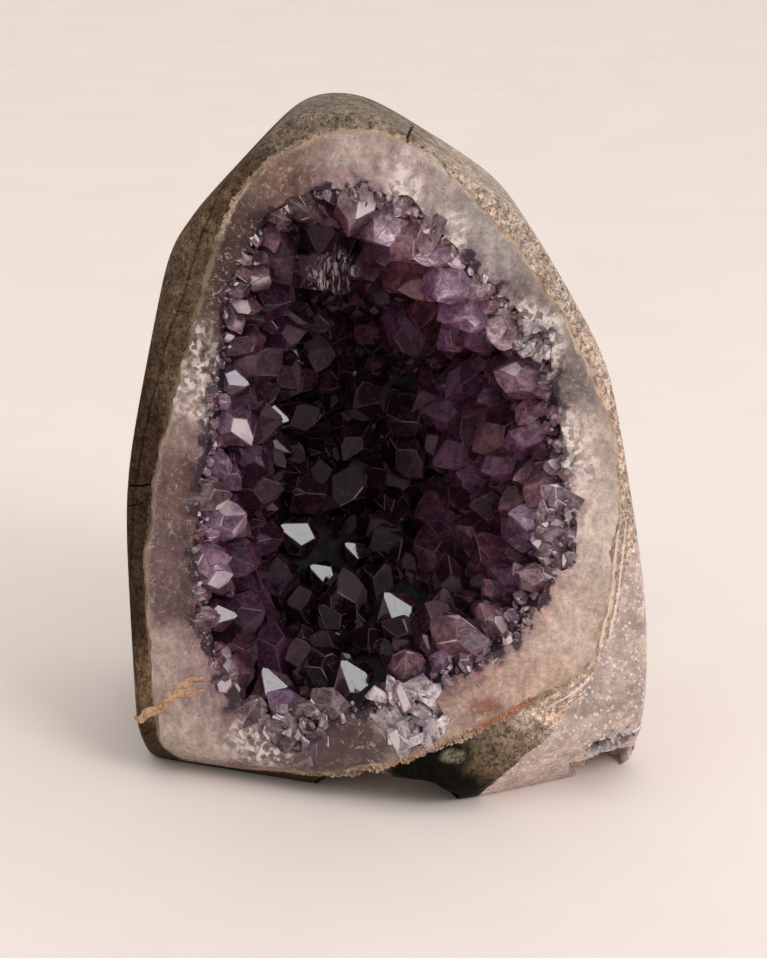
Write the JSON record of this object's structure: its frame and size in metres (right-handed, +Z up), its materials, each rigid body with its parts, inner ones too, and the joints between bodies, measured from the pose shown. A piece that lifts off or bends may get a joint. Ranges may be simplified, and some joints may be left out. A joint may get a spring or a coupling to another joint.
{
  "type": "amethyst geode",
  "caption": "Standing amethyst geode with a sawn flat base, a smooth convex front and an open hollow lined with crystal points, for display on a shelf or table.",
  "frame": {"origin": "on the plane of the sawn base, under the middle of the whole outline", "axes": "+Z up, front with the open hollow toward -Y, +X to the right of someone facing the front"},
  "size_m": [0.1088, 0.087, 0.1397],
  "materials": {
    "basalt": "semi-gloss polished dark basalt, paler where ground thin",
    "chalcedony": "cream chalcedony, waxy",
    "quartz": "polished translucent smoky pink quartz",
    "druse": "massive amethyst, glossy broken crystal",
    "amethyst": "deep purple crystal, mirror-bright tip faces",
    "clay": "tan clay fill, matt"
  },
  "bodies": {
    "root": {"basalt_rind": "basalt", "chalcedony_seam": "chalcedony", "quartz_lining": "quartz", "side_quartz": "quartz", "druse_bed": "druse", "clay_vein": "clay", "amethyst_point_01": "amethyst", "amethyst_point_02": "amethyst", "amethyst_point_03": "amethyst", "amethyst_point_04": "amethyst", "amethyst_point_05": "amethyst", "amethyst_point_06": "amethyst", "amethyst_point_07": "amethyst", "amethyst_point_08": "amethyst", "amethyst_point_09": "amethyst", "amethyst_point_10": "amethyst", "amethyst_point_11": "amethyst", "amethyst_point_12": "amethyst", "amethyst_point_13": "amethyst", "amethyst_point_14": "amethyst", "amethyst_point_15": "amethyst", "amethyst_point_16": "amethyst", "amethyst_point_17": "amethyst", "amethyst_point_18": "amethyst", "amethyst_point_19": "amethyst", "amethyst_point_20": "amethyst", "amethyst_point_21": "amethyst", "amethyst_point_22": "amethyst", "amethyst_point_23": "amethyst", "amethyst_point_24": "amethyst", "amethyst_point_25": "amethyst", "amethyst_point_26": "amethyst", "amethyst_point_27": "amethyst", "amethyst_point_28": "amethyst", "amethyst_point_29": "amethyst", "amethyst_point_30": "amethyst", "amethyst_point_31": "amethyst", "amethyst_point_32": "amethyst", "amethyst_point_33": "amethyst", "amethyst_point_34": "amethyst", "amethyst_point_35": "amethyst", "amethyst_point_36": "amethyst", "amethyst_point_37": "amethyst", "amethyst_point_38": "amethyst", "amethyst_point_39": "amethyst", "amethyst_point_40": "amethyst", "amethyst_point_41": "amethyst", "amethyst_point_42": "amethyst", "amethyst_point_43": "amethyst", "amethyst_point_44": "amethyst", "amethyst_point_45": "amethyst", "amethyst_point_46": "amethyst"}
  },
  "joints": []
}
